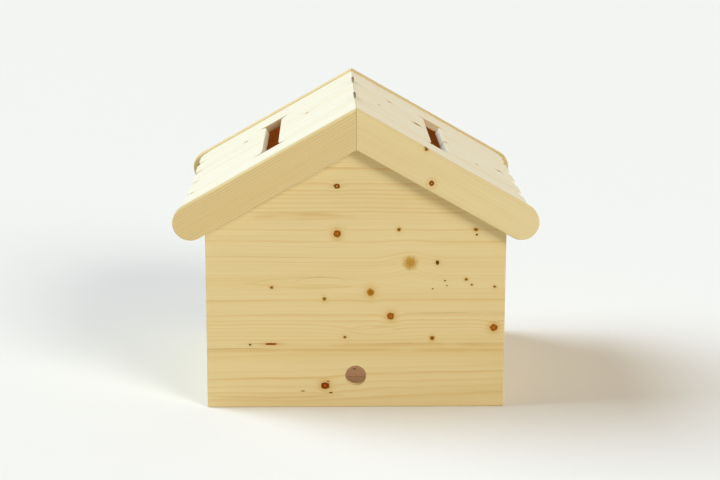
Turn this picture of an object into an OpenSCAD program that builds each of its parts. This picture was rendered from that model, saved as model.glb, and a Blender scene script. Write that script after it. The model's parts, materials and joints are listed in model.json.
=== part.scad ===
// Wooden dog house with a pitched roof of two boarded leaves hinged at the ridge.
// The whole roof lifts off the house, and one leaf folds over onto the other.
// Sizes in mm, +Z up, origin on the ground under the middle of the house.
// The gable with the cord hole faces -Y, the gable with the doorway faces +Y.

/* [House] */
// Width across each gable panel
panel_w = 530; // [450:2:620]
// Depth over the outer faces of the two gable panels
body_d = 512; // [450:2:600]
// Height of the gable panels at their side edges
shoulder_h = 373; // [340:1:440]
// Thickness of the gable panels
panel_t = 15; // [12:0.5:20]
// Thickness of the side walls
wall_t = 15; // [12:0.5:20]
// Section of the square posts in the four inner corners
post_w = 25; // [20:1:32]
// Width of the eased edges on the timber
edge_ease = 1.5; // [0.6:0.1:2.4]

/* [Openings] */
// Width of the arched doorway
door_w = 240; // [180:2:300]
// Height of the doorway from its sill to its crown
door_h = 270; // [220:2:300]
// Height of the door sill above the ground
door_sill = 45; // [38:1:70]
// Diameter of the cord hole
cord_hole_d = 37.2; // [20:0.2:48]
// Height of the middle of the cord hole above the ground
cord_hole_z = 58.6; // [48:0.2:120]

/* [Floor] */
// Thickness of the floor boards
floor_t = 12; // [9:0.5:16]
// Width of the runners under the floor
runner_w = 30; // [22:1:44]
// Height of the runners under the floor
runner_h = 10; // [8:1:16]

/* [Roof] */
// Pitch of the two roof leaves in degrees
roof_pitch = 29.6; // [25:0.2:34]
// How far the roof boards reach out past the side walls
eave_reach = 40; // [25:0.5:60]
// Thickness of the roof boards
board_t = 13; // [11:0.5:17]
// Radius of the rounded board corners at the eaves and at the hand holes
corner_r = 30; // [20:0.5:36]
// Width of the eased edges on the roof boards
board_ease = 0.6; // [0.4:0.1:1.2]
// Distance down the slope from the ridge to the upper edge of a hand hole
hand_hole_s = 161; // [140:1:175]
// Size of a hand hole down the slope
hand_hole_w = 34; // [28:1:44]
// Width of the barge boards, which is also the diameter of their round ends
barge_w = 62; // [50:1:76]
// Thickness of the barge boards
barge_t = 20; // [16:0.5:26]
// How far the barge boards stand above the roof boards
barge_proud = 3; // [2.5:0.1:6]
// How far up the slope from the board ends the round barge ends are centred
barge_short = 0.5; // [0:0.5:10]
// Width of the battens under the roof boards
batten_w = 30; // [24:1:38]
// Thickness of the battens under the roof boards
batten_t = 20; // [16:0.5:26]

/* [Hinges and fasteners] */
// Length of each butt hinge along the ridge
hinge_len = 38; // [32:1:50]
// Thickness of the hinge leaves
leaf_t = 0.9; // [0.7:0.05:1.2]
// Outer radius of the hinge knuckles
knuckle_r = 2.6; // [2.2:0.05:2.8]
// Radius of the hinge pins
pin_r = 1.2; // [1:0.05:1.4]
// Radius of the wood screw shanks
screw_r = 1.75; // [1.4:0.05:2.2]
// Radius of the dowels in the barge boards
dowel_r = 3; // [2:0.1:3.5]

/* [Fits] */
// Clearance between the roof boards and the edges that they rest on
seat_gap = 0.3; // [0.2:0.05:0.8]
// Gap between neighbouring boards
joint_gap = 0.4; // [0.2:0.1:1]
// Clearance between the gable panels and the barge boards
barge_gap = 1; // [0.5:0.1:3]
// Clearance between the lower battens and the side walls
wall_clear = 6; // [5:0.5:12]
// Gap between the plumb faces of the two roof leaves along the ridge
ridge_gap = 0.4; // [0.3:0.1:1.2]
// Clearance at each end of the battens
end_clear = 3; // [1:0.5:8]
// Clearance between the two leaves of a hinge
leaf_play = 0.2; // [0.1:0.05:0.4]
// Radial running clearance of the hinge pins
pin_play = 0.05; // [0.02:0.01:0.1]
// Clearance round the edges of a hinge leaf in its housing
housing_play = 0.2; // [0.1:0.05:0.5]
// Clearance between neighbouring hinge knuckles
knuckle_gap = 0.3; // [0.2:0.05:0.6]

/* [Hidden] */
$fn = 64;
floor_count = 5;
roof_count = 5;
cut_over = 5;
pine = [0.86, 0.76, 0.54];
pale_pine = [0.9, 0.84, 0.68];
steel = [0.72, 0.71, 0.68];

// House frame
half_w = panel_w / 2;
inner_d = body_d - 2 * panel_t;
inner_half_w = half_w - wall_t;
gable_h = shoulder_h + half_w * tan(roof_pitch);
wall_rise = wall_t * tan(roof_pitch);
floor_top = runner_h + floor_t;
floor_pitch = inner_d / floor_count;
post_drop = 30;
post_h = shoulder_h - post_drop - floor_top;
door_r = door_w / 2;
door_spring = door_sill + door_h - door_r;
gable_outline = [
    [-half_w, 0],
    [half_w, 0],
    [half_w, shoulder_h],
    [0, gable_h],
    [-half_w, shoulder_h]
];

// Roof frame: down the slope is x, outward from the slope is z, the ridge axis is the origin
board_depth = barge_proud + board_t;
ridge_z = gable_h + (board_depth + seat_gap) / cos(roof_pitch);
eave_s = (half_w + eave_reach) / cos(roof_pitch);
barge_s = eave_s - barge_short;
roof_in_d = body_d + 2 * barge_gap;
roof_d = roof_in_d + 2 * barge_t;
board_pitch = roof_in_d / roof_count;
board_w = board_pitch - joint_gap;
lower_s = hand_hole_s + hand_hole_w;
ridge_over = 20;
batten_len = inner_d - 2 * end_clear;
upper_batten_s = hand_hole_s / 2 - batten_w / 2;
lower_batten_edge = inner_half_w - wall_clear + board_depth * sin(roof_pitch);
lower_batten_s = lower_batten_edge / cos(roof_pitch) - batten_w;

// Fasteners
screw_bite = 8;
screw_head_r = 2 * screw_r;
screw_tip = 2 * screw_r;
recess_w = 0.5 * screw_r;
recess_depth = 0.6 * screw_r;
screw_spread = 0.25 * board_pitch;
screw_stagger = 0.2 * batten_w;
post_screw_at = [0.12, 0.88];
wall_screw_at = [0.22, 0.78];
dowel_at = [0.2, 0.5, 0.8];
dowel_in_barge = 0.6 * barge_t;
dowel_in_board = 18;

// Hinges
leaf_drop = 16;
leaf_back = leaf_play / 2 + leaf_t;
leaf_top = knuckle_r + knuckle_gap;
knuckle_end_len = 0.28 * hinge_len;
knuckle_mid_len = hinge_len - 2 * (knuckle_end_len + knuckle_gap);
hinge_screw_r = 1.1;
hinge_screw_head_r = 2 * hinge_screw_r;
hinge_screw_len = 9;
hinge_screw_z = -12;
hinge_screw_y = 0.32 * hinge_len;
pin_over = 0.5;
hinge_at = [-board_pitch, board_pitch];

SIDE_NAMES = ["right", "left"];
END_NAMES = ["back", "front"];

HOUSE_NODES = [
    "back_panel",
    "front_panel",
    "left_wall",
    "right_wall",
    "floor_board_1",
    "floor_board_2",
    "floor_board_3",
    "floor_board_4",
    "floor_board_5",
    "left_runner",
    "middle_runner",
    "right_runner",
    "left_back_post",
    "right_back_post",
    "left_front_post",
    "right_front_post",
    "post_screws",
    "floor_screws"
];
ROOF_PIECES = [
    "board_1",
    "board_2_upper",
    "board_2_lower",
    "board_3_upper",
    "board_3_lower",
    "board_4_upper",
    "board_4_lower",
    "board_5",
    "barge_back",
    "barge_front",
    "barge_dowels",
    "upper_batten",
    "lower_batten",
    "batten_screws",
    "hinge_leaves",
    "hinge_screws"
];

// Rectangle with its four corners cut off by the eased edge
module eased_rect(a, b, ease = edge_ease) {
    polygon([
        [ease, 0],
        [a - ease, 0],
        [a, ease],
        [a, b - ease],
        [a - ease, b],
        [ease, b],
        [0, b - ease],
        [0, ease]
    ]);
}

// Half of an eased section, from its middle line out to its edge, for revolving
module eased_half(r, b, ease = edge_ease) {
    polygon([
        [0, 0],
        [r - ease, 0],
        [r, ease],
        [r, b - ease],
        [r - ease, b],
        [0, b]
    ]);
}

// Bar along x with its long edges eased
module eased_bar(len, w, h, ease = edge_ease) {
    rotate([90, 0, 90])
        linear_extrude(len)
            eased_rect(w, h, ease);
}

// Block with every edge eased
module eased_block(len, w, h, ease = edge_ease) {
    intersection() {
        eased_bar(len, w, h, ease);
        translate([0, w, 0])
            rotate([90, 0, 0])
                linear_extrude(w)
                    eased_rect(len, h, ease);
        linear_extrude(h)
            eased_rect(len, w, ease);
    }
}

// Roof board lying flat, whose corners named as [end, side] are rounded to corner_r
module plank(len, w, h, rounds) {
    difference() {
        eased_block(len, w, h, board_ease);
        for (c = rounds)
            translate([
                c.x == 0 ? -cut_over : len - corner_r,
                c.y == 0 ? -cut_over : w - corner_r,
                -cut_over
            ])
                cube([corner_r + cut_over, corner_r + cut_over, h + 2 * cut_over]);
    }
    for (c = rounds)
        translate([
            c.x == 0 ? corner_r : len - corner_r,
            c.y == 0 ? corner_r : w - corner_r,
            0
        ])
            rotate([0, 0, c.x == 1 ? (c.y == 1 ? 0 : 270) : (c.y == 1 ? 90 : 180)])
                rotate_extrude(angle = 90)
                    eased_half(corner_r, h, board_ease);
}

// Cutter that eases both rims of an opening in a gable panel along its edge from a to b
module rim_cut(a, b) {
    d = b - a;
    translate([a.x, a.y, 0])
        rotate([0, 0, atan2(d.y, d.x)])
            for (face = [0, 1])
                translate([0, 0, face * panel_t])
                    mirror([0, 0, face])
                        rotate([90, 0, 90])
                            linear_extrude(norm(d))
                                polygon([
                                    [-cut_over, -cut_over],
                                    [edge_ease + cut_over, -cut_over],
                                    [-cut_over, edge_ease + cut_over]
                                ]);
}

// Gable panel lying flat, outer face up, with every outer rim eased
module gable_slab() {
    hull() {
        translate([0, 0, edge_ease])
            linear_extrude(panel_t - 2 * edge_ease)
                polygon(gable_outline);
        linear_extrude(panel_t)
            offset(delta = -edge_ease)
                polygon(gable_outline);
    }
}

module back_panel() {
    color(pine)
        translate([0, panel_t - body_d / 2, 0])
            rotate([90, 0, 0])
                difference() {
                    gable_slab();
                    translate([0, cord_hole_z, -cut_over])
                        cylinder(h = panel_t + 2 * cut_over, d = cord_hole_d);
                }
}

// Doorway cutter: jambs, arched head and eased rims
module doorway() {
    translate([0, 0, -cut_over])
        linear_extrude(panel_t + 2 * cut_over) {
            translate([-door_r, door_sill])
                square([door_w, door_spring - door_sill]);
            translate([0, door_spring])
                circle(r = door_r);
        }
    for (face = [0, 1])
        translate([0, door_spring, face * panel_t])
            mirror([0, 0, face])
                translate([0, 0, -cut_over])
                    cylinder(h = edge_ease + cut_over, r1 = door_r + edge_ease + cut_over, r2 = door_r);
    rim_cut([-door_r, door_sill], [-door_r, door_spring]);
    rim_cut([door_r, door_spring], [door_r, door_sill]);
    rim_cut([door_r, door_sill], [-door_r, door_sill]);
}

module front_panel() {
    color(pine)
        translate([0, body_d / 2, 0])
            rotate([90, 0, 0])
                difference() {
                    gable_slab();
                    doorway();
                }
}

// Side wall between the gable panels, its top bevelled to the roof pitch
module wall(side) {
    color(pine)
        mirror([side, 0, 0])
            translate([0, inner_d / 2, 0])
                rotate([90, 0, 0])
                    linear_extrude(inner_d)
                        polygon([
                            [inner_half_w, 0],
                            [half_w - edge_ease, 0],
                            [half_w, edge_ease],
                            [half_w, shoulder_h],
                            [inner_half_w, shoulder_h + wall_rise]
                        ]);
}

module floor_board(i) {
    color(pine)
        translate([
            end_clear - inner_half_w,
            (i - 1) * floor_pitch + joint_gap - inner_d / 2,
            runner_h
        ])
            eased_block(2 * (inner_half_w - end_clear), floor_pitch - 2 * joint_gap, floor_t);
}

// Runner on the ground under the floor boards, place -1 to 1 across the house
function runner_x(place) = place * (inner_half_w - runner_w / 2);

module runner(place) {
    color(pine)
        translate([runner_x(place) - runner_w / 2, -inner_d / 2, 0])
            cube([runner_w, inner_d, runner_h]);
}

// Corner post standing on the floor against a side wall and a gable panel
module post(side, end) {
    color(pine)
        mirror([side, 0, 0])
            mirror([0, 1 - end, 0])
                translate([inner_half_w - post_w, inner_d / 2 - post_w, floor_top])
                    eased_block(post_w, post_w, post_h);
}

// Countersunk wood screw with a cross recess, driven along +z from its head face
module wood_screw(length) {
    difference() {
        rotate_extrude()
            polygon([
                [0, 0],
                [screw_head_r, 0],
                [screw_r, screw_head_r - screw_r],
                [screw_r, length - screw_tip],
                [0, length]
            ]);
        for (turn = [0, 90])
            rotate([0, 0, turn])
                translate([-screw_r, -recess_w / 2, -recess_depth])
                    cube([2 * screw_r, recess_w, 2 * recess_depth]);
    }
}

module post_screws() {
    color(steel)
        for (side = [0, 1], end = [0, 1])
            mirror([side, 0, 0])
                mirror([0, 1 - end, 0]) {
                    for (at = post_screw_at)
                        translate([
                            inner_half_w - post_w / 2,
                            inner_d / 2 - post_w,
                            floor_top + at * post_h
                        ])
                            rotate([-90, 0, 0])
                                wood_screw(post_w + screw_bite);
                    for (at = wall_screw_at)
                        translate([
                            inner_half_w - post_w,
                            inner_d / 2 - post_w / 2,
                            floor_top + at * post_h
                        ])
                            rotate([0, 90, 0])
                                wood_screw(post_w + screw_bite);
                }
}

module floor_screws() {
    color(steel)
        for (i = [1 : floor_count], place = [-1, 0, 1])
            translate([runner_x(place), (i - 0.5) * floor_pitch - inner_d / 2, floor_top])
                rotate([180, 0, 0])
                    wood_screw(floor_t + 0.6 * runner_h);
}

// Sets a piece drawn on the roof frame on the right slope, or mirrored on the left one
module on_slope(side) {
    mirror([side, 0, 0])
        translate([0, 0, ridge_z])
            rotate([0, roof_pitch, 0])
                children();
}

// The same, with the upper end cut off plumb beside the ridge
module mitred_on_slope(side) {
    intersection() {
        on_slope(side)
            children();
        mirror([side, 0, 0])
            translate([ridge_gap / 2, -roof_d, 0])
                cube([panel_w, 2 * roof_d, 2 * ridge_z]);
    }
}

// Edge of roof board i nearest to the back
function board_y(i) = (i - 1) * board_pitch - roof_in_d / 2 + joint_gap / 2;

// Board that runs unbroken from ridge to eave
module long_board(side, i) {
    color(pale_pine)
        mitred_on_slope(side)
            translate([-ridge_over, board_y(i), -board_depth])
                plank(eave_s + ridge_over, board_w, board_t, [[1, 0], [1, 1]]);
}

// Board from the ridge to the hand hole, with housings for the hinge leaves in its plumb end
module upper_board(side, i, rounds) {
    color(pale_pine)
        difference() {
            mitred_on_slope(side)
                translate([-ridge_over, board_y(i), -board_depth])
                    plank(hand_hole_s + ridge_over, board_w, board_t, rounds);
            for (y = hinge_at)
                translate([
                    -leaf_back,
                    y - hinge_len / 2 - housing_play,
                    ridge_z - leaf_drop - housing_play
                ])
                    cube([2 * leaf_back, hinge_len + 2 * housing_play, 2 * leaf_drop]);
        }
}

// Board from the hand hole to the eave
module lower_board(side, i, rounds) {
    color(pale_pine)
        on_slope(side)
            translate([lower_s, board_y(i), -board_depth])
                plank(eave_s - lower_s, board_w, board_t, concat(rounds, [[1, 0], [1, 1]]));
}

// Barge board with a half-round lower end, at the back for end 0 and at the front for end 1
module barge(side, end) {
    color(pine)
        mitred_on_slope(side)
            translate([0, end * (roof_d - barge_t) + barge_t - roof_d / 2, -barge_w])
                rotate([90, 0, 0]) {
                    translate([-2 * barge_w, 0, 0])
                        eased_bar(barge_s + 2 * barge_w, barge_w, barge_t);
                    translate([barge_s, barge_w / 2, 0])
                        rotate([0, 0, -90])
                            rotate_extrude(angle = 180)
                                eased_half(barge_w / 2, barge_t);
                }
}

// Dowels that join the barge boards to the edges of the first and the last roof board
module barge_dowels(side) {
    color(pale_pine)
        on_slope(side)
            for (end = [-1, 1], at = dowel_at)
                translate([at * eave_s, end * roof_in_d / 2, -barge_proud - board_t / 2])
                    rotate([-90 * end, 0, 0])
                        translate([0, 0, -dowel_in_board])
                            cylinder(h = dowel_in_board + dowel_in_barge, r = dowel_r);
}

module batten(side, s) {
    color(pine)
        on_slope(side)
            translate([s, -batten_len / 2, -board_depth - batten_t])
                eased_block(batten_w, batten_len, batten_t);
}

// Two staggered screws up through each batten into each board
module batten_screws(side) {
    color(steel)
        on_slope(side)
            for (s = [upper_batten_s, lower_batten_s], i = [1 : roof_count], step = [-1, 1])
                translate([
                    s + batten_w / 2 + step * screw_stagger,
                    (i - 0.5) * board_pitch - roof_in_d / 2 + step * screw_spread,
                    -board_depth - batten_t
                ])
                    wood_screw(batten_t + screw_bite);
}

// Lengths of ridge that the knuckles of each leaf take up, from the middle of a hinge
function knuckle_spans(side) =
    side == 0
        ? [[-knuckle_mid_len / 2, knuckle_mid_len]]
        : [[-hinge_len / 2, knuckle_end_len], [hinge_len / 2 - knuckle_end_len, knuckle_end_len]];

// Cylinder along the ridge
module ridge_rod(y, length, r) {
    translate([0, y, 0])
        rotate([-90, 0, 0])
            cylinder(h = length, r = r);
}

// Screw of a hinge leaf, driven along +x from the face of the leaf
module hinge_screw(play) {
    rotate([0, 90, 0])
        rotate_extrude()
            polygon([
                [0, 0],
                [hinge_screw_head_r + play, 0],
                [hinge_screw_r + play, hinge_screw_head_r - hinge_screw_r],
                [hinge_screw_r + play, hinge_screw_len - hinge_screw_r],
                [0, hinge_screw_len]
            ]);
}

module at_hinge_screws() {
    for (y = [-hinge_screw_y, hinge_screw_y])
        translate([leaf_play / 2, y, hinge_screw_z])
            children();
}

// Leaf with its own knuckles on the ridge axis
module hinge_leaf(side) {
    mirror([side, 0, 0])
        difference() {
            union() {
                translate([leaf_play / 2, -hinge_len / 2, -leaf_drop])
                    cube([leaf_t, hinge_len, leaf_drop - leaf_top]);
                for (span = knuckle_spans(side)) {
                    translate([leaf_play / 2, span[0], -leaf_drop])
                        cube([leaf_t, span[1], leaf_drop]);
                    ridge_rod(span[0], span[1], knuckle_r);
                }
            }
            ridge_rod(-hinge_len, 2 * hinge_len, pin_r + pin_play);
            at_hinge_screws()
                hinge_screw(pin_play);
        }
}

module hinge_leaves(side) {
    color(steel)
        for (y = hinge_at)
            translate([0, y, ridge_z])
                hinge_leaf(side);
}

module hinge_screws(side) {
    color(steel)
        for (y = hinge_at)
            translate([0, y, ridge_z])
                mirror([side, 0, 0])
                    at_hinge_screws()
                        hinge_screw(0);
}

module hinge_pins() {
    color(steel)
        for (y = hinge_at)
            translate([0, y, ridge_z])
                ridge_rod(-hinge_len / 2 - pin_over, hinge_len + 2 * pin_over, pin_r);
}

back_panel();
front_panel();
for (i = [1 : floor_count])
    floor_board(i);
runner(-1);  // left_runner
runner(0);  // middle_runner
runner(1);  // right_runner
post_screws();
floor_screws();
hinge_pins();
for (side = [0, 1]) {
    name = SIDE_NAMES[side];
    wall(side);
    for (end = [0, 1]) {
        post(side, end);
        barge(side, end);
    }
    long_board(side, 1);
    upper_board(side, 2, [[1, 0]]);
    lower_board(side, 2, [[0, 0]]);
    upper_board(side, 3, []);
    lower_board(side, 3, []);
    upper_board(side, 4, [[1, 1]]);
    lower_board(side, 4, [[0, 1]]);
    long_board(side, 5);
    barge_dowels(side);
    batten(side, upper_batten_s);
    batten(side, lower_batten_s);
    batten_screws(side);
    hinge_leaves(side);
    hinge_screws(side);
}
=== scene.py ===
import json
import math
import random
import bpy
from mathutils import Matrix, Vector


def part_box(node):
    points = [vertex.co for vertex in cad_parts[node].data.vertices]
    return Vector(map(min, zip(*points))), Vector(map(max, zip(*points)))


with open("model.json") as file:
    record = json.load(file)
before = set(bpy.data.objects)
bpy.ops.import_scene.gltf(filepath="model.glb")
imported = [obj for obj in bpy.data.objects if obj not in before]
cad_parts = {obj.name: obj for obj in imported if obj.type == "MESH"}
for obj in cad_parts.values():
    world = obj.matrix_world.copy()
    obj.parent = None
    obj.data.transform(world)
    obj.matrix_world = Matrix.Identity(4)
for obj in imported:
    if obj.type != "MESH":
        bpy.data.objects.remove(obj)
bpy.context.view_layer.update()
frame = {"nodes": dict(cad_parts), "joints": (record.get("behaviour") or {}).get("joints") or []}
NODES = frame["nodes"]

# directions of the part, its places in metres and the pitch of its roof
X, Y, Z = Vector((1, 0, 0)), Vector((0, 1, 0)), Vector((0, 0, 1))
BACK_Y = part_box("back_panel")[0].y
FRONT_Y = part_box("front_panel")[1].y
RIDGE_Z = frame["joints"][1]["pos_m"][2]
PITCH = math.radians(29.6)


def srgb(r, g, b):
    """Linear colour of an 8-bit display colour."""
    def linear(v):
        v /= 255.0
        return v / 12.92 if v <= 0.04045 else ((v + 0.055) / 1.055) ** 2.4
    return (linear(r), linear(g), linear(b), 1.0)


def tones(*stops):
    """Stops of a colour ramp, from (place, red, green, blue) with 8-bit colours."""
    return [(place, srgb(r, g, b)) for place, r, g, b in stops]


def greys(*stops):
    """Stops of a colour ramp, from (place, value)."""
    return [(place, (value, value, value, 1.0)) for place, value in stops]


# sockets of a node that mixes colours: the factor, the two colours and the result
MIX_FACTOR, MIX_A, MIX_B, MIX_RESULT = 0, 6, 7, 2


class Graph:
    """Short calls for the shader nodes used below."""

    def __init__(self, tree):
        self.tree = tree

    def put(self, socket, value):
        if isinstance(value, bpy.types.NodeSocket):
            self.tree.links.new(value, socket)
        else:
            socket.default_value = value

    def node(self, kind, **props):
        n = self.tree.nodes.new(kind)
        for key, value in props.items():
            setattr(n, key, value)
        return n

    def math(self, op, a, b=None, c=None, clamp=False):
        n = self.node("ShaderNodeMath", operation=op, use_clamp=clamp)
        for i, value in enumerate((a, b, c)):
            if value is not None:
                self.put(n.inputs[i], value)
        return n.outputs[0]

    def add(self, a, b):
        return self.math("ADD", a, b)

    def sub(self, a, b):
        return self.math("SUBTRACT", a, b)

    def mul(self, a, b):
        return self.math("MULTIPLY", a, b)

    def div(self, a, b):
        return self.math("DIVIDE", a, b)

    def mul_add(self, a, b, c):
        return self.math("MULTIPLY_ADD", a, b, c)

    def fall(self, distance, rate):
        """From 1 at no distance down to 0 far away."""
        return self.math("EXPONENT", self.mul(distance, -rate))

    def swing(self, value, size, middle=0.0):
        """A value of 0 to 1, as a swing of that size round the middle."""
        return self.mul_add(value, size, middle - size / 2)

    def vec(self, op, a, b=None, c=None):
        n = self.node("ShaderNodeVectorMath", operation=op)
        for i, value in enumerate((a, b, c)):
            if value is not None:
                self.put(n.inputs[i], value)
        return n.outputs["Value" if op == "DOT_PRODUCT" else "Vector"]

    def join(self, x, y, z):
        n = self.node("ShaderNodeCombineXYZ")
        for i, value in enumerate((x, y, z)):
            self.put(n.inputs[i], value)
        return n.outputs[0]

    def parts(self, colour):
        n = self.node("ShaderNodeSeparateColor")
        self.put(n.inputs[0], colour)
        return n.outputs[0], n.outputs[1], n.outputs[2]

    def noise(self, vector, scale=1.0, detail=2.0, rough=0.5):
        n = self.node("ShaderNodeTexNoise", noise_dimensions="3D")
        self.put(n.inputs["Vector"], vector)
        n.inputs["Scale"].default_value = scale
        n.inputs["Detail"].default_value = detail
        n.inputs["Roughness"].default_value = rough
        return n.outputs[0]

    def noise1(self, w):
        n = self.node("ShaderNodeTexNoise", noise_dimensions="1D")
        self.put(n.inputs["W"], w)
        n.inputs["Scale"].default_value = 1.0
        n.inputs["Detail"].default_value = 1.0
        return n.outputs[0]

    def white(self, w):
        n = self.node("ShaderNodeTexWhiteNoise", noise_dimensions="1D")
        self.put(n.inputs["W"], w)
        return n.outputs["Value"]

    def span(self, value, start, end, low=0.0, high=1.0):
        n = self.node("ShaderNodeMapRange", interpolation_type="SMOOTHSTEP", clamp=True)
        self.put(n.inputs[0], value)
        for i, limit in enumerate((start, end, low, high)):
            n.inputs[i + 1].default_value = limit
        return n.outputs[0]

    def ramp(self, fac, stops, mode="LINEAR"):
        n = self.node("ShaderNodeValToRGB")
        n.color_ramp.interpolation = mode
        elements = n.color_ramp.elements
        while len(elements) < len(stops):
            elements.new(1.0)
        for element, (place, colour) in zip(elements, stops):
            element.position = place
            element.color = colour
        self.put(n.inputs[0], fac)
        return n.outputs[0]

    def steps(self, fac, colours):
        """Colours that follow one another in equal steps."""
        count = len(colours)
        return self.ramp(fac, [(i / count, colour) for i, colour in enumerate(colours)], "CONSTANT")

    def mix(self, fac, a, b, blend="MIX"):
        n = self.node("ShaderNodeMix", data_type="RGBA", blend_type=blend, clamp_factor=True)
        self.put(n.inputs[MIX_FACTOR], fac)
        self.put(n.inputs[MIX_A], a)
        self.put(n.inputs[MIX_B], b)
        return n.outputs[MIX_RESULT]

    def tint(self, fac, colour, tone):
        """The colour multiplied by a tone, where fac says so."""
        return self.mix(fac, colour, self.mix(1.0, colour, tone, "MULTIPLY"))

    def bump(self, bsdf, height, strength, distance):
        n = self.node("ShaderNodeBump")
        n.inputs["Strength"].default_value = strength
        n.inputs["Distance"].default_value = distance
        self.put(n.inputs["Height"], height)
        self.put(bsdf.inputs["Normal"], n.outputs[0])


def material(name):
    """A new material, the graph to build it with, and its shader."""
    m = bpy.data.materials.new(name)
    m.use_nodes = True
    m.node_tree.nodes.clear()
    g = Graph(m.node_tree)
    out = g.node("ShaderNodeOutputMaterial")
    bsdf = g.node("ShaderNodeBsdfPrincipled")
    g.put(out.inputs["Surface"], bsdf.outputs[0])
    return m, g, bsdf


# colours of a knot from its heart out to its rim
KNOT_TONES = {
    "ring": tones((0.0, 224, 202, 150), (0.7, 222, 198, 144), (0.86, 190, 150, 86), (1.0, 212, 184, 126)),
    "tan": tones((0.0, 178, 134, 52), (0.5, 186, 143, 60), (0.8, 194, 152, 72), (1.0, 204, 166, 94)),
    "amber": tones((0.0, 182, 112, 34), (0.35, 162, 94, 20), (0.65, 134, 74, 0), (0.88, 134, 76, 2),
                   (1.0, 172, 120, 44)),
    "honey": tones((0.0, 146, 92, 8), (0.35, 158, 104, 16), (0.8, 176, 126, 40), (1.0, 194, 150, 76)),
    "brown": tones((0.0, 104, 72, 6), (0.35, 124, 86, 10), (0.8, 160, 114, 36), (1.0, 188, 146, 72)),
    "red": tones((0.0, 168, 86, 26), (0.35, 148, 70, 10), (0.6, 112, 46, 0), (0.88, 98, 38, 0),
                 (1.0, 150, 92, 30)),
    "eye": tones((0.0, 226, 190, 138), (0.12, 188, 130, 60), (0.4, 124, 74, 6), (0.85, 108, 62, 0),
                 (1.0, 158, 110, 44)),
    "dark": tones((0.0, 116, 88, 22), (0.3, 92, 66, 0), (0.8, 82, 58, 0), (1.0, 142, 106, 42)),
}
# how strongly the wood round a knot is stained, in what tone, and how quickly that falls off
KNOT_HALOS = {"ring": 0.0, "tan": 0.0, "amber": 0.85, "honey": 0.6, "brown": 0.5, "red": 0.8, "eye": 0.4,
              "dark": 0.5}
HALO_TONE = srgb(204, 158, 78)
HALO_FALL = 0.42
# where a knot begins and where it is full, in radii, for firm knots and for knots with a blurred rim
KNOT_RIM, FIRM_FULL, BLURRED_FULL = 1.12, 0.75, 0.3
BLURRED_KNOTS = ("ring", "tan")
# ragged rims: waves a metre, and swing in radii
GRIT_WAVES, GRIT_SWING = 260.0, 0.8

# noise drawn out along the grain: waves a metre along it and across it, detail, roughness
SLOW = (3.2, 9.0, 2.0, 0.45)
FAST = (11.0, 70.0, 2.0, 0.5)
STREAKS = (3.0, 150.0, 3.0, 0.6)
FIBRES = (20.0, 1200.0, 1.0, 0.5)
CLOUDS = (1.6, 16.0, 2.0, 0.5)
BREAKS = (14.0, 40.0, 2.0, 0.5)
# steps along the noise from seed to seed and from strip to strip
SEED_STEP, STRIP_STEP = 3.71, 1.93

# how far the noise moves rings, knots along and across the grain, and single lines, in metres
RING_WOBBLE, KNOT_WOBBLE_U, KNOT_WOBBLE_V, FIGURE_WOBBLE = 0.0016, 0.003, 0.0012, 0.004
# push of a swelling or a knot on the rings: how quickly it falls off, and size in half widths or radii
SWELL_FALL, SWELL_PUSH = 0.9, 0.9
KNOT_FALL, KNOT_PUSH = 0.22, 0.8
# drift of the width of the rings: waves a year, and years
DRIFT_WAVES, DRIFT_YEARS = 0.37, 2.2
# darkness within a year, from early wood to late wood
YEAR_BAND = greys((0.0, 0.1), (0.12, 0.0), (0.5, 0.14), (0.76, 0.62), (0.88, 1.0), (1.0, 0.1))
# strength of a year's line: least, range from year to year, and what even growth adds
LINE_LEAST, LINE_RANGE, LINE_EVEN = 0.2, 0.8, 0.5
# fading of a line along the board: waves a metre, step from year to year, least and range
FADE_WAVES, FADE_STEP, FADE_LEAST, FADE_RANGE = 5.0, 3.3, 0.25, 1.4
# where single lines break off: limits of the noise, and how much is left
BREAK_SPAN = (0.3, 0.6, 0.35, 1.0)

# clouds of warmer wood: share of the early wood's colour, limits of the noise, and mix
WARM_SHARE = (0.955, 0.875, 0.73, 1.0)
CLOUD_SPAN = (0.42, 0.78, 0.0, 0.6)
# swing of the brightness in streaks, fibres and from strip to strip, and the share of it in red and blue
STREAK_SWING, FIBRE_SWING, STRIP_SWING = 0.13, 0.08, 0.04
RED_SWING, BLUE_SWING = 0.55, 1.5
# roughness of pine, and what late wood, streaks and knots add
ROUGH_PINE, ROUGH_LINE, ROUGH_STREAK, ROUGH_KNOT = 0.5, 0.08, 0.12, 0.3
# gloss of pine, and of the duller floor boards
PINE_GLOSS, FLOOR_GLOSS = 0.08, 0.03
# relief of late wood and fibres, with its strength and its depth in metres
LINE_RELIEF, FIBRE_RELIEF, PINE_BUMP, PINE_BUMP_M = 0.3, 0.5, 0.2, 0.0005

# tone of sawn ends (darker end grain), painted highlight on the sawn ends of roof boards, painted shade on
# their long edges, and how squarely a face has to look that way
# the second tone is a painted highlight: sawn ends of roof boards lit brighter and cooler than the face,
# standing in for window light
END_TONE, ROOF_END_HIGHLIGHT = (0.86, 0.82, 0.75, 1.0), (1.08, 1.08, 1.12, 1.0)
# painted shade on the long edges of roof boards, where the narrow gaps between boards lie in shade
ROOF_EDGE_SHADE = (0.85, 0.75, 0.60, 1.0)
SQUARE_SPAN = (0.55, 0.95)
# painted shade of inner faces: the tone their colour is multiplied by, and how squarely a face has to look
# inward
INSIDE_SHADE = (0.93, 0.80, 0.66, 1.0)
INSIDE_SHADE_SQUARE_SPAN = (0.4, 0.8)
# thickness of panels and walls in metres, and the depths between which the painted shade of the inner face
# sets in
PANEL_T = 0.015
INSIDE_SHADE_SPAN = (0.6 * PANEL_T, 0.9 * PANEL_T)

# width of the strips that a panel is glued up from, and how many there are
STRIP_W = 0.1105
STRIP_COUNT = 5
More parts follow.
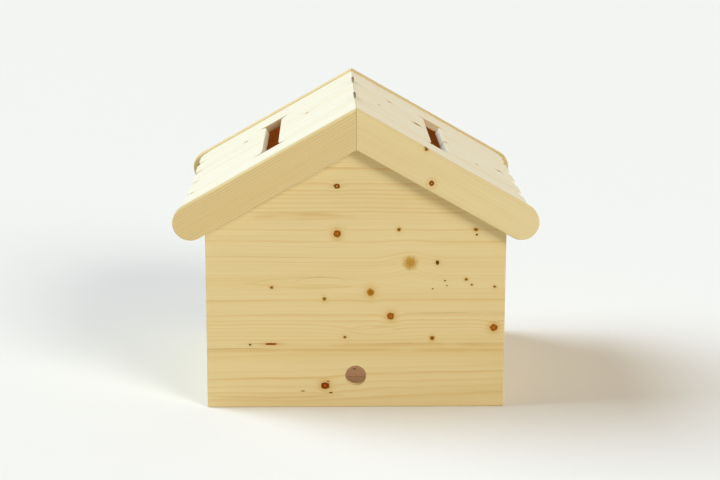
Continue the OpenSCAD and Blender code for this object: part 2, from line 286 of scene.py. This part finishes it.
# a strip's values are packed into spans of this size, because a colour ramp holds 0 to 1
HEART_SPAN, RING_SPAN, SLOPE_SPAN, BEND_SPAN = 0.4, 0.02, 0.1, 0.05


class Strip:
    """Growth of one glued strip of a wide panel: where the heart of its tree lies from the strip's middle
    (across and behind), width of a year's ring, slope of the grain, force of the lines, and how much the
    grain bends."""

    def __init__(self, across, behind, ring, slope, force, bend):
        self.tree = (across / HEART_SPAN + 0.5, behind / HEART_SPAN + 0.5, ring / RING_SPAN, 1.0)
        self.grain = (slope / SLOPE_SPAN + 0.5, force, bend / BEND_SPAN, 1.0)


class Pine:
    """Pine with growth rings round the heart of its tree.

    axes are u along the grain, v across the face and w into the board, and wood is the colour of early and
    late wood. heart is the place of the tree's heart across the board and into it. even is how alike the
    years are. swells are (u, v, half length, half width), knots are (u, v, radius, stretch, tone) and figures
    are arched lines (u, v, half length, rise, line width, force, tone), all in metres.
    """

    def __init__(self, name, origin, axes, seed, wood, strips=None, heart=(0.0, -0.09), ring=0.005,
                 slope=0.02, force=0.5, bend=0.006, even=0.0, swells=(), knots=(), figures=(),
                 inside_tone=None, end_tone=END_TONE, edge_tone=None, gloss=PINE_GLOSS):
        self.material, self.g, self.bsdf = material(name)
        self.axes = axes
        self.shift = seed * SEED_STEP
        self.lay_axes(origin)
        if strips:
            self.grow_strips(strips)
        else:
            self.grow_board(heart, ring, slope, force, bend)
        self.slow = self.noise(*SLOW)
        self.fast = self.noise(*FAST)
        self.streak = self.noise(*STREAKS)
        self.fibre = self.noise(*FIBRES)
        depth = self.part_rings(self.depth_in_tree(), swells, knots)
        self.line = self.year_lines(depth, even)
        colour = self.draw_figures(self.wood_colour(*wood), figures)
        colour, rough = self.draw_knots(colour, self.wood_roughness())
        colour = self.tone_and_shade_faces(colour, inside_tone, end_tone, edge_tone)
        self.dress(colour, rough, gloss)

    def lay_axes(self, origin):
        g = self.g
        self.tex = g.node("ShaderNodeTexCoord")
        self.point = g.vec("SUBTRACT", self.tex.outputs["Object"], tuple(origin))
        self.u, self.v, self.w = [g.vec("DOT_PRODUCT", self.point, tuple(axis)) for axis in self.axes]

    def grow_board(self, heart, ring, slope, force, bend):
        """The piece is one board of one tree."""
        self.along = self.g.add(self.u, self.shift)
        self.across = self.g.sub(self.v, heart[0])
        self.behind = heart[1]
        self.ring, self.slope, self.force, self.bend = ring, slope, force, bend
        self.tone = 0.0

    def grow_strips(self, strips):
        """The piece is glued up from strips, each of its own tree."""
        g = self.g
        step = g.div(self.v, STRIP_W * len(strips))
        across, behind, ring = g.parts(g.steps(step, [strip.tree for strip in strips]))
        slope, self.force, bend = g.parts(g.steps(step, [strip.grain for strip in strips]))
        number = g.math("FLOOR", g.div(self.v, STRIP_W))
        middle = g.mul(g.add(number, 0.5), STRIP_W)
        self.along = g.mul_add(number, STRIP_STEP, g.add(self.u, self.shift))
        self.across = g.sub(g.sub(self.v, middle), g.swing(across, HEART_SPAN))
        self.behind = g.swing(behind, HEART_SPAN)
        self.ring = g.mul(ring, RING_SPAN)
        self.slope = g.swing(slope, SLOPE_SPAN)
        self.bend = g.mul(bend, BEND_SPAN)
        self.tone = g.swing(g.white(g.add(number, self.shift)), STRIP_SWING)

    def noise(self, length, width, detail, rough):
        """Noise drawn out along the grain."""
        g = self.g
        place = g.join(g.mul(self.along, length), g.mul(self.v, width), g.mul(self.w, width))
        return g.noise(place, detail=detail, rough=rough)

    def depth_in_tree(self):
        """Distance from the heart of the tree, where the grain bends and slopes."""
        g = self.g
        across = g.mul_add(g.swing(self.slow, 2.0), self.bend, self.across)
        across = g.add(across, g.mul(self.u, self.slope))
        behind = g.sub(self.w, self.behind)
        depth = g.math("SQRT", g.add(g.mul(across, across), g.mul(behind, behind)))
        return g.mul_add(self.fast, RING_WOBBLE, depth)

    def away_from(self, u, v, length, width):
        """Squared distance from a place on the face, in half lengths and half widths."""
        g = self.g
        scale = (1.0 / length, 1.0 / width, 0.0)
        shift = (-(u + KNOT_WOBBLE_U / 2) / length, -(v + KNOT_WOBBLE_V / 2) / width, 0.0)
        away = g.vec("MULTIPLY_ADD", self.face, scale, shift)
        return g.vec("DOT_PRODUCT", away, away)

    def part_rings(self, depth, swells, knots):
        """The rings part round knots and round swellings under the face."""
        g = self.g
        self.face = g.join(g.mul_add(self.slow, KNOT_WOBBLE_U, self.u),
                           g.mul_add(self.fast, KNOT_WOBBLE_V, self.v), 0.0)
        for u, v, length, width in swells:
            away = self.away_from(u, v, length, width)
            depth = g.mul_add(g.fall(away, SWELL_FALL), SWELL_PUSH * width, depth)
        self.nearest = {}
        for u, v, radius, stretch, kind in knots:
            away = self.away_from(u, v, radius * stretch, radius)
            depth = g.mul_add(g.fall(away, KNOT_FALL), KNOT_PUSH * radius, depth)
            if kind in self.nearest:
                away = g.math("MINIMUM", self.nearest[kind], away)
            self.nearest[kind] = away
        return depth

    def year_lines(self, depth, even):
        """One soft line a year, strong in some years and faint in others, fading along the board."""
        g = self.g
        years = g.div(depth, self.ring)
        drift = g.noise1(g.mul_add(years, DRIFT_WAVES, self.shift))
        years = g.mul_add(drift, DRIFT_YEARS * (1.0 - even), years)
        year = g.math("FLOOR", years)
        band = g.ramp(g.math("FRACT", years), YEAR_BAND)
        strength = g.mul_add(g.white(g.add(year, self.shift)), LINE_RANGE * (1.0 - even),
                             LINE_LEAST + LINE_EVEN * even)
        fade = g.noise(g.join(g.mul(self.along, FADE_WAVES), g.mul(year, FADE_STEP), 0.0), detail=1.0)
        strength = g.mul(strength, g.mul_add(fade, FADE_RANGE, FADE_LEAST))
        return g.math("MULTIPLY", g.mul(band, strength), self.force, clamp=True)

    def wood_colour(self, early, late):
        g = self.g
        colour = g.mix(self.line, early, late)
        warm = tuple(part * share for part, share in zip(early, WARM_SHARE))
        colour = g.mix(g.span(self.noise(*CLOUDS), *CLOUD_SPAN), colour, warm)
        gain = g.swing(self.streak, STREAK_SWING, 1.0)
        gain = g.add(gain, g.swing(self.fibre, FIBRE_SWING))
        gain = g.add(gain, self.tone)
        red, blue = [g.mul_add(gain, swing, 1.0 - swing) for swing in (RED_SWING, BLUE_SWING)]
        return g.mix(1.0, colour, g.join(red, gain, blue), "MULTIPLY")

    def wood_roughness(self):
        g = self.g
        return g.add(g.mul_add(self.line, ROUGH_LINE, ROUGH_PINE), g.mul(self.streak, ROUGH_STREAK))

    def draw_figures(self, colour, figures):
        """Single lines of the grain, arched or straight."""
        g = self.g
        if not figures:
            return colour
        place = g.mul_add(self.fast, FIGURE_WOBBLE, self.v)
        left = g.span(self.noise(*BREAKS), *BREAK_SPAN)
        for u, v, length, rise, width, force, tone in figures:
            t = g.div(g.sub(self.u, u), length)
            arch = g.math("SUBTRACT", 1.0, g.mul(t, t), clamp=True)
            off = g.div(g.sub(place, g.mul_add(arch, rise, v + FIGURE_WOBBLE / 2)), width)
            mark = g.fall(g.mul(off, off), 1.0)
            mark = g.mul(mark, g.mul(g.math("SQRT", arch), force))
            colour = g.mix(g.mul(mark, left), colour, tone)
        return colour

    def draw_knots(self, colour, rough):
        """Knots with the stained wood round them."""
        g = self.g
        if not self.nearest:
            return colour, rough
        ragged = g.swing(g.noise(self.point, GRIT_WAVES), GRIT_SWING)
        for kind in [kind for kind in KNOT_TONES if kind in self.nearest]:
            away = self.nearest[kind]
            colour = g.mix(g.mul(g.fall(away, HALO_FALL), KNOT_HALOS[kind]), colour, HALO_TONE)
            radius = g.add(g.math("SQRT", away), ragged)
            body = g.span(radius, KNOT_RIM, BLURRED_FULL if kind in BLURRED_KNOTS else FIRM_FULL)
            colour = g.mix(body, colour, g.ramp(radius, KNOT_TONES[kind]))
            rough = g.mul_add(body, ROUGH_KNOT, rough)
        return colour, rough

    def facing(self, axis):
        return self.g.vec("DOT_PRODUCT", self.tex.outputs["Normal"], tuple(axis))

    def tone_and_shade_faces(self, colour, inside_tone, end_tone, edge_tone):
        """Painted shade on inner faces and on the long edges of roof boards, a painted highlight on the sawn
        ends of roof boards, and darker end grain on other sawn ends.
        """
        g = self.g
        along, across, into = self.axes
        if inside_tone:
            # painted shade: inner faces are darkened and reddened, standing in for the shade inside the
            # closed house
            hidden = g.mul(g.span(self.w, *INSIDE_SHADE_SPAN), g.span(self.facing(into), *INSIDE_SHADE_SQUARE_SPAN))
            colour = g.tint(hidden, colour, inside_tone)
        # sawn ends get darker end grain, and on roof boards a painted highlight instead; long edges of roof
        # boards get painted shade
        for axis, tone in ((along, end_tone), (across, edge_tone)):
            if tone:
                square = g.span(g.math("ABSOLUTE", self.facing(axis)), *SQUARE_SPAN)
                colour = g.tint(square, colour, tone)
        return colour

    def dress(self, colour, rough, gloss):
        g = self.g
        g.put(self.bsdf.inputs["Base Color"], colour)
        g.put(self.bsdf.inputs["Roughness"], rough)
        self.bsdf.inputs["Specular IOR Level"].default_value = gloss
        relief = g.add(g.mul(self.line, LINE_RELIEF), g.mul(self.fibre, FIBRE_RELIEF))
        g.bump(self.bsdf, relief, PINE_BUMP, PINE_BUMP_M)


# step of the noise from seed to seed on steel, and waves a metre of its drawn lines and dull patches
STEEL_STEP = (1.3, 0.7, 2.1)
DRAWN_WAVES, PATCH_WAVES, PATCH_DETAIL = (2600.0, 90.0, 2600.0), 160.0, 3.0
# dull patches: share of the tint, limits of the noise and mix
DULL_SHARE = 0.62
DULL_SPAN = (0.42, 0.72, 0.0, 0.6)
# swing of brightness in the drawn lines, roughness and what patches add, strength and depth of the relief
DRAWN_SWING = 0.2
ROUGH_STEEL, ROUGH_PATCH = 0.2, 0.3
STEEL_BUMP, STEEL_BUMP_M = 0.15, 0.0002


def steel(name, tint, seed, metal=1.0):
    """Plated steel with a drawn finish and dull patches."""
    m, g, bsdf = material(name)
    tex = g.node("ShaderNodeTexCoord")
    point = g.vec("ADD", tex.outputs["Object"], tuple(seed * step for step in STEEL_STEP))
    drawn = g.noise(g.vec("MULTIPLY", point, DRAWN_WAVES))
    patch = g.noise(point, PATCH_WAVES, PATCH_DETAIL)
    dull = tuple(part * DULL_SHARE for part in tint[:3]) + (1.0,)
    colour = g.mix(g.span(patch, *DULL_SPAN), tint, dull)
    gain = g.swing(drawn, DRAWN_SWING, 1.0)
    g.put(bsdf.inputs["Base Color"], g.mix(1.0, colour, g.join(gain, gain, gain), "MULTIPLY"))
    bsdf.inputs["Metallic"].default_value = metal
    g.put(bsdf.inputs["Roughness"], g.mul_add(patch, ROUGH_PATCH, ROUGH_STEEL))
    g.bump(bsdf, drawn, STEEL_BUMP, STEEL_BUMP_M)
    return m


def paint(node, mat):
    o = NODES[node]
    o.data.materials.clear()
    o.data.materials.append(mat)
    for face in o.data.polygons:
        face.material_index = 0


def pine(node, origin, axes, seed, wood, name=None, **growth):
    paint(node, Pine(name or "pine_" + node, origin, axes, seed, wood, **growth).material)


# knots on faces that the photograph doesn't show: radius in metres, how rare large ones are, and stretch
KNOT_LEAST, KNOT_MOST, KNOT_RARITY = 0.002, 0.008, 1.8
KNOT_STRETCH = (1.05, 1.3)
COMMON_KNOTS = ["red", "amber", "brown", "dark"]


def scatter(seed, count, u_range, v_range):
    """Seeded knots for a face that the photograph doesn't show."""
    r = random.Random(seed)
    knots = []
    for _ in range(count):
        radius = KNOT_LEAST + (KNOT_MOST - KNOT_LEAST) * r.random() ** KNOT_RARITY
        u, v = r.uniform(*u_range), r.uniform(*v_range)
        knots.append((u, v, radius, r.uniform(*KNOT_STRETCH), r.choice(COMMON_KNOTS)))
    return knots


# ranges of the growth of strips and of roof boards, in the order in which they are drawn
STRIP_RANGES = {"across": (0.07, 0.16), "behind": (-0.08, -0.03), "ring": (0.0042, 0.0085),
                "slope": (-0.012, 0.012), "force": (0.4, 0.6), "bend": (0.004, 0.009)}
BOARD_RANGES = {"across": (0.03, 0.14), "behind": (-0.1, -0.05), "slope": (-0.015, 0.015),
                "ring": (0.0048, 0.0075)}


def any_growth(r, ranges):
    """Growth drawn from ranges, with the heart of the tree on one side or the other."""
    side = r.choice([-1, 1])
    growth = {key: r.uniform(*limits) for key, limits in ranges.items()}
    growth["across"] *= side
    return growth


def any_strips(seed):
    """Seeded growth for the strips of a panel that the photograph doesn't show."""
    r = random.Random(seed)
    return [Strip(**any_growth(r, STRIP_RANGES)) for _ in range(STRIP_COUNT)]


# colours of early and late wood
PANEL_WOOD = (srgb(222, 203, 150), srgb(203, 151, 74))
ROOF_WOOD = (srgb(236, 229, 204), srgb(216, 191, 146))
INNER_WOOD = (srgb(208, 178, 124), srgb(172, 130, 76))
# floor boards: darker and redder than the walls, partly the boards' own tone and partly painted shade of the
# closed inside
FLOOR_WOOD_AND_SHADE = (srgb(180, 138, 108), srgb(148, 104, 76))
DOWEL_WOOD = (srgb(200, 164, 116), srgb(176, 136, 92))
FINE_WOOD = (srgb(217, 197, 144), srgb(190, 156, 98))
PLAIN_WOOD = (srgb(223, 205, 155), srgb(204, 170, 112))

# tints of the fittings, and how metallic the dull floor screws are
LEAF_TINT, HINGE_SCREW_TINT, PIN_TINT = srgb(194, 186, 160), srgb(186, 178, 154), srgb(180, 172, 148)
SCREW_TINT, FLOOR_SCREW_TINT = srgb(182, 174, 156), srgb(190, 158, 132)
FLOOR_SCREW_METAL = 0.35

# knots of the back gable: place along and up the panel, radius, stretch along the grain, tone
PANEL_KNOTS = [
    (-0.0338, 0.4040, 0.0052, 1.1, "eye"), (-0.0328, 0.3187, 0.0070, 1.0, "amber"),
    (0.0756, 0.3259, 0.0036, 1.1, "brown"), (0.2110, 0.3256, 0.0034, 1.4, "brown"),
    (0.2125, 0.3165, 0.0018, 1.2, "dark"), (0.0963, 0.2658, 0.0160, 1.0, "tan"),
    (0.1442, 0.2662, 0.0044, 0.8, "dark"), (0.1577, 0.2334, 0.0014, 1.3, "dark"),
    (0.1614, 0.2243, 0.0012, 1.2, "dark"), (0.1359, 0.2185, 0.0012, 1.3, "dark"),
    (0.1957, 0.2355, 0.0028, 1.2, "brown"), (0.2055, 0.2258, 0.0018, 1.3, "brown"),
    (0.2463, 0.2222, 0.0024, 1.3, "brown"), (0.2458, 0.1469, 0.0070, 1.05, "amber"),
    (-0.0558, 0.2004, 0.0038, 1.0, "brown"), (0.0261, 0.2121, 0.0080, 0.9, "honey"),
    (0.0618, 0.1687, 0.0070, 1.0, "amber"), (-0.1489, 0.2215, 0.0028, 1.2, "brown"),
    (-0.0191, 0.1302, 0.0028, 1.1, "brown"), (0.1359, 0.1278, 0.0044, 1.1, "brown"),
    (-0.1505, 0.1178, 0.0021, 5.4, "red"), (-0.1880, 0.1165, 0.0020, 1.1, "dark"),
    (-0.0540, 0.0399, 0.0068, 1.2, "red"), (-0.0490, 0.0480, 0.0011, 2.4, "dark"),
    (-0.0441, 0.0270, 0.0014, 2.4, "dark"), (-0.0940, 0.0300, 0.0010, 4.0, "dark"),
]
# places on the back gable where the lines part and close again
PANEL_SWELLS = [
    (-0.060, 0.2300, 0.060, 0.0075),
    (-0.165, 0.2290, 0.030, 0.0050),
    (0.010, 0.1430, 0.055, 0.0090),
]
# tones of narrow and of broad single lines, and the lines of the back gable's grain
LINE, BAND = srgb(158, 118, 60), srgb(197, 144, 64)
PANEL_FIGURES = [
    (-0.0620, 0.2310, 0.0500, 0.0098, 0.0008, 0.34, LINE),
    (-0.0620, 0.2310, 0.0500, -0.0060, 0.0010, 0.16, LINE),
    (-0.0800, 0.2290, 0.1150, 0.0110, 0.0012, 0.18, LINE),
    (-0.0800, 0.2290, 0.1150, -0.0085, 0.0018, 0.30, BAND),
    (0.1850, 0.1745, 0.1000, 0.0004, 0.0007, 0.55, LINE),
    (-0.2150, 0.1085, 0.0700, 0.0004, 0.0009, 0.55, LINE),
    (-0.1640, 0.1178, 0.0500, 0.0004, 0.0009, 0.45, LINE),
    (0.0300, 0.1430, 0.0500, 0.0080, 0.0014, 0.24, BAND),
    (0.0300, 0.1430, 0.0500, -0.0080, 0.0014, 0.24, BAND),
    (0.1200, 0.1140, 0.3000, 0.0020, 0.0040, 0.36, BAND),
    (0.0400, 0.1050, 0.3600, 0.0010, 0.0034, 0.40, BAND),
    (0.1400, 0.1170, 0.1600, 0.0010, 0.0009, 0.30, LINE),
    (-0.1500, 0.0230, 0.1300, -0.0050, 0.0030, 0.36, BAND),
    (0.1600, 0.0250, 0.1500, 0.0060, 0.0090, 0.10, BAND),
    (-0.0900, 0.3480, 0.0900, 0.0060, 0.0032, 0.40, BAND),
    (-0.0900, 0.3480, 0.0700, -0.0020, 0.0020, 0.24, BAND),
]
# strips of the back gable, from the foot up
PANEL_STRIPS = [
    Strip(-0.13, -0.05, 0.0150, -0.020, 0.56, 0.0140),
    Strip(-0.12, -0.04, 0.0066, -0.004, 0.50, 0.0050),
    Strip(0.14, -0.04, 0.0050, 0.003, 0.46, 0.0035),
    Strip(-0.11, -0.05, 0.0070, -0.006, 0.56, 0.0075),
    Strip(0.12, -0.04, 0.0050, 0.004, 0.52, 0.0040),
]
# knots of the roof boards and barge boards: down the slope, across the board, radius, stretch, tone
ROOF_KNOTS = {
    "right_board_4_upper": [(0.0835, 0.0008, 0.0045, 1.1, "brown")],
    "right_board_3_upper": [(0.1389, 0.0033, 0.0085, 1.0, "brown"), (0.0560, -0.0240, 0.0030, 1.1, "brown")],
    "right_board_3_lower": [(0.3177, -0.0031, 0.0050, 1.1, "brown"), (0.1985, -0.0260, 0.0040, 1.2, "brown")],
    "right_board_2_lower": [(0.2600, 0.0150, 0.0030, 1.1, "brown")],
    "left_board_3_upper": [(0.1024, 0.0262, 0.0040, 1.1, "brown")],
    "left_board_4_lower": [(0.2390, -0.0060, 0.0040, 1.1, "brown")],
    "right_barge_back": [(0.1780, -0.0486, 0.0115, 1.0, "ring"), (0.1778, -0.0484, 0.0050, 1.0, "eye"),
                         (0.1400, -0.0006, 0.0038, 1.1, "brown")],
}
CUT_BOARDS = ["board_%d_%s" % (row, half) for row in (2, 3, 4) for half in ("upper", "lower")]
ROOF_BOARDS = ["board_1", *CUT_BOARDS, "board_5"]
ROOF_FORCE = 0.45

# one barge board of each gable has fine, even grain and the other a plain one
FINE_BARGE = {"wood": FINE_WOOD, "heart": (0.26, -0.03), "slope": 0.016, "ring": 0.0048, "force": 0.78,
              "bend": 0.0022, "even": 0.85}
PLAIN_BARGE = {"wood": PLAIN_WOOD, "heart": (0.08, -0.06), "slope": 0.012, "ring": 0.0062, "force": 0.3}

# hearts of the trees of hidden pieces, across and behind; each floor board lies further from its heart
RUNNER_HEART, POST_HEART, BATTEN_HEART = (0.04, -0.05), (0.05, -0.06), (0.1, -0.2)
FLOOR_HEART, FLOOR_HEART_STEP, FLOOR_SLOPE, FLOOR_BOARDS = (0.06, -0.05), 0.012, 0.01, 5
BATTEN_RING, DOWEL_RING = 0.004, 0.002

# areas of hidden faces that get knots, along and across the grain, and how many
FRONT_AREA = ((-0.25, 0.25), (0.02, 0.45))
WALL_AREA = ((-0.23, 0.23), (0.02, 0.36))
BARGE_AREA = ((0.03, 0.36), (-0.055, -0.008))
FRONT_KNOTS, WALL_KNOTS, BARGE_KNOTS = 16, 14, 3

# seeds of the grain, of the strips and of the knots; a piece adds its number
BACK_SEED, FRONT_SEED, WALL_SEED, FLOOR_SEED, RUNNER_SEED, POST_SEED = 11, 23, 31, 50, 70, 80
FRONT_STRIP_SEED, WALL_STRIP_SEED, FRONT_KNOT_SEED, WALL_KNOT_SEED = 3, 6, 5, 40
PIN_SEED, POST_SCREW_SEED, FLOOR_SCREW_SEED = 7, 8, 9
SIDE_SEEDS = {"right": 100, "left": 200}
# what the pieces of a roof leaf add to their side's seed
BARGE_SEED, BARGE_KNOT_SEED, BATTEN_SEED, DOWEL_SEED = 40, 60, 70, 80
HINGE_SCREW_SEED, BATTEN_SCREW_SEED = 1, 2


def paint_gables():
    pine("back_panel", (0, BACK_Y, 0), (X, Z, Y), BACK_SEED, PANEL_WOOD, strips=PANEL_STRIPS,
         knots=PANEL_KNOTS, swells=PANEL_SWELLS, figures=PANEL_FIGURES, inside_tone=INSIDE_SHADE)
    pine("front_panel", (0, FRONT_Y, 0), (-X, Z, -Y), FRONT_SEED, PANEL_WOOD,
         strips=any_strips(FRONT_STRIP_SEED), knots=scatter(FRONT_KNOT_SEED, FRONT_KNOTS, *FRONT_AREA),
         inside_tone=INSIDE_SHADE)


def paint_walls():
    for i, name in enumerate(("left_wall", "right_wall")):
        lo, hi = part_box(name)
        face, into = (lo.x, X) if name == "left_wall" else (hi.x, -X)
        pine(name, (face, 0, 0), (Y, Z, into), WALL_SEED + i, PANEL_WOOD,
             strips=any_strips(WALL_STRIP_SEED + i),
             knots=scatter(WALL_KNOT_SEED + i, WALL_KNOTS, *WALL_AREA), inside_tone=INSIDE_SHADE)


def paint_floor():
    across, behind = FLOOR_HEART
    for i in range(1, FLOOR_BOARDS + 1):
        name = "floor_board_%d" % i
        lo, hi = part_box(name)
        pine(name, (0, (lo.y + hi.y) / 2, hi.z), (X, Y, -Z), FLOOR_SEED + i, FLOOR_WOOD_AND_SHADE,
             heart=(across + FLOOR_HEART_STEP * i, behind), slope=FLOOR_SLOPE * (-1) ** i, gloss=FLOOR_GLOSS)
    for i, name in enumerate(("left_runner", "middle_runner", "right_runner")):
        lo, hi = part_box(name)
        pine(name, ((lo.x + hi.x) / 2, 0, lo.z), (Y, X, Z), RUNNER_SEED + i, INNER_WOOD, heart=RUNNER_HEART)


def paint_posts():
    for i, name in enumerate(("left_back_post", "right_back_post", "left_front_post", "right_front_post")):
        lo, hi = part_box(name)
        pine(name, ((lo.x + hi.x) / 2, (lo.y + hi.y) / 2, lo.z), (Z, X, Y), POST_SEED + i, INNER_WOOD,
             heart=POST_HEART)


def paint_roof_boards(side, down, out):
    for piece in ROOF_BOARDS:
        name = "%s_%s" % (side, piece)
        lo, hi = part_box(name)
        seed = SIDE_SEEDS[side] + int(piece.split("_")[1])
        growth = any_growth(random.Random(seed), BOARD_RANGES)
        # roof boards: painted highlight on their sawn ends and painted shade on their long edges
        pine(name, (0, (lo.y + hi.y) / 2, RIDGE_Z), (down, Y, -out), seed, ROOF_WOOD,
             heart=(growth["across"], growth["behind"]), slope=growth["slope"], ring=growth["ring"],
             force=ROOF_FORCE, knots=ROOF_KNOTS.get(name, ()), end_tone=ROOF_END_HIGHLIGHT,
             edge_tone=ROOF_EDGE_SHADE)


def paint_barges(side, down, out):
    seed = SIDE_SEEDS[side]
    for i, end in enumerate(("back", "front")):
        name = "%s_barge_%s" % (side, end)
        lo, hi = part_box(name)
        face, into = (lo.y, Y) if end == "back" else (hi.y, -Y)
        fine = (side == "left") == (end == "back")
        knots = ROOF_KNOTS.get(name, ())
        if end == "front":
            knots = scatter(seed + BARGE_KNOT_SEED, BARGE_KNOTS, *BARGE_AREA)
        pine(name, (0, face, RIDGE_Z), (down, out, into), seed + BARGE_SEED + i, knots=knots,
             **(FINE_BARGE if fine else PLAIN_BARGE))


def paint_leaf(side):
    """All pieces of one roof leaf."""
    way = 1 if side == "right" else -1
    down = Vector((way * math.cos(PITCH), 0, -math.sin(PITCH)))
    out = Vector((way * math.sin(PITCH), 0, math.cos(PITCH)))
    seed = SIDE_SEEDS[side]
    paint_roof_boards(side, down, out)
    paint_barges(side, down, out)
    ridge, across = (0, 0, RIDGE_Z), (Y, down, out)
    for i, piece in enumerate(("upper_batten", "lower_batten")):
        pine("%s_%s" % (side, piece), ridge, across, seed + BATTEN_SEED + i, INNER_WOOD, heart=BATTEN_HEART,
             ring=BATTEN_RING)
    pine("%s_barge_dowels" % side, ridge, across, seed + DOWEL_SEED, DOWEL_WOOD,
         name="beech_%s_dowels" % side, heart=BATTEN_HEART, ring=DOWEL_RING)
    paint("%s_hinge_leaves" % side, steel("plated_%s_leaves" % side, LEAF_TINT, seed))
    paint("%s_hinge_screws" % side,
          steel("plated_%s_hinge_screws" % side, HINGE_SCREW_TINT, seed + HINGE_SCREW_SEED))
    paint("%s_batten_screws" % side,
          steel("zinc_%s_batten_screws" % side, SCREW_TINT, seed + BATTEN_SCREW_SEED))


def paint_fittings():
    paint("hinge_pins", steel("plated_pins", PIN_TINT, PIN_SEED))
    paint("post_screws", steel("zinc_post_screws", SCREW_TINT, POST_SCREW_SEED))
    paint("floor_screws", steel("zinc_floor_screws", FLOOR_SCREW_TINT, FLOOR_SCREW_SEED, FLOOR_SCREW_METAL))


paint_gables()
paint_walls()
paint_floor()
paint_posts()
paint_leaf("right")
paint_leaf("left")
paint_fittings()

# plain pale ground, wide enough to fill the picture
GROUND_SIZE, GROUND_SHIFT = 60, 12
GROUND_COLOUR = (0.785, 0.765, 0.715, 1.0)
GROUND_ROUGH, GROUND_GLOSS = 0.85, 0.2
# light from all round
WORLD_COLOUR, WORLD_STRENGTH = (1.0, 0.78, 0.54, 1.0), 0.27
# blur of a spot lamp's rim, and opening of an area lamp in degrees
SPOT_BLEND, AREA_SPREAD = 0.6, 90


def add_ground():
    bpy.ops.mesh.primitive_plane_add(size=GROUND_SIZE, location=(0, GROUND_SHIFT, 0))
    floor = bpy.context.object
    floor.name = "studio_floor"
    m, _, bsdf = material("pale_floor")
    bsdf.inputs["Base Color"].default_value = GROUND_COLOUR
    bsdf.inputs["Roughness"].default_value = GROUND_ROUGH
    bsdf.inputs["Specular IOR Level"].default_value = GROUND_GLOSS
    floor.data.materials.append(m)


def add_world():
    world = bpy.data.worlds.new("studio")
    bpy.context.scene.world = world
    world.use_nodes = True
    background = world.node_tree.nodes["Background"]
    background.inputs[0].default_value = WORLD_COLOUR
    background.inputs[1].default_value = WORLD_STRENGTH


def lamp(name, kind, place, target, power, colour, **settings):
    """A lamp that the camera doesn't see."""
    data = bpy.data.lights.new(name, kind)
    data.energy = power
    data.color = colour
    for key, value in settings.items():
        setattr(data, key, value)
    o = bpy.data.objects.new(name, data)
    bpy.context.scene.collection.objects.link(o)
    o.location = place
    o.rotation_euler = (Vector(target) - Vector(place)).to_track_quat("-Z", "Y").to_euler()
    o.visible_camera = False


def add_lamps():
    """Daylight from the right, from above and from a window at the left, and two small lamps in the house."""
    lamp("key", "SUN", place=(2.24, -2.77, 2.16), target=(0, 0, 0.3), power=1.83, colour=(1.0, 1.0, 0.98),
         angle=math.radians(26))
    lamp("top", "SUN", place=(2.0, 1.4, 3.5), target=(0, 0, 0.3), power=0.40, colour=(1.0, 1.0, 0.96),
         angle=math.radians(60))
    lamp("window", "SUN", place=(-4.4, 1.2, 3.9), target=(0, 0, 0.4), power=3.85, colour=(0.70, 0.85, 1.02),
         angle=math.radians(46))
    lamp("floor_light", "AREA", place=(0, -0.08, 0.30), target=(0, -0.08, 0), power=0.155,
         colour=(0.95, 0.98, 0.82), size=0.12, spread=math.radians(AREA_SPREAD))
    lamp("cabin", "SPOT", place=(0, -0.2, 0.2), target=(0, 0.24, 0.40), power=2.7, colour=(1.0, 0.20, 0.03),
         spot_size=math.radians(44), spot_blend=SPOT_BLEND, shadow_soft_size=0.06)


# camera where the photograph was taken from, found from the house's own edges
EYE = Vector((-0.0586, -3.2978, 1.0042))
TIP, TURN, ROLL = math.radians(12.90), math.radians(1.237), math.radians(0.153)
FOCAL_PX, PHOTO_W_PX = 1775.9, 720.0
SENSOR_MM = 36.0
FAR_CLIP = 200


def add_camera():
    ahead = Vector((math.sin(TURN) * math.cos(TIP), math.cos(TURN) * math.cos(TIP), -math.sin(TIP)))
    level = Vector((math.cos(TURN), -math.sin(TURN), 0))
    upright = level.cross(ahead)
    right = level * math.cos(ROLL) + upright * math.sin(ROLL)
    up = upright * math.cos(ROLL) - level * math.sin(ROLL)
    data = bpy.data.cameras.new("camera")
    data.sensor_width = SENSOR_MM
    data.lens = SENSOR_MM * FOCAL_PX / PHOTO_W_PX
    data.clip_end = FAR_CLIP
    camera = bpy.data.objects.new("camera", data)
    bpy.context.scene.collection.objects.link(camera)
    camera.matrix_world = Matrix((
        (right.x, up.x, -ahead.x, EYE.x),
        (right.y, up.y, -ahead.y, EYE.y),
        (right.z, up.z, -ahead.z, EYE.z),
        (0, 0, 0, 1),
    ))
    bpy.context.scene.camera = camera


add_ground()
add_world()
add_lamps()
add_camera()
bpy.context.scene.view_settings.view_transform = "Standard"
bpy.context.scene.view_settings.look = "None"
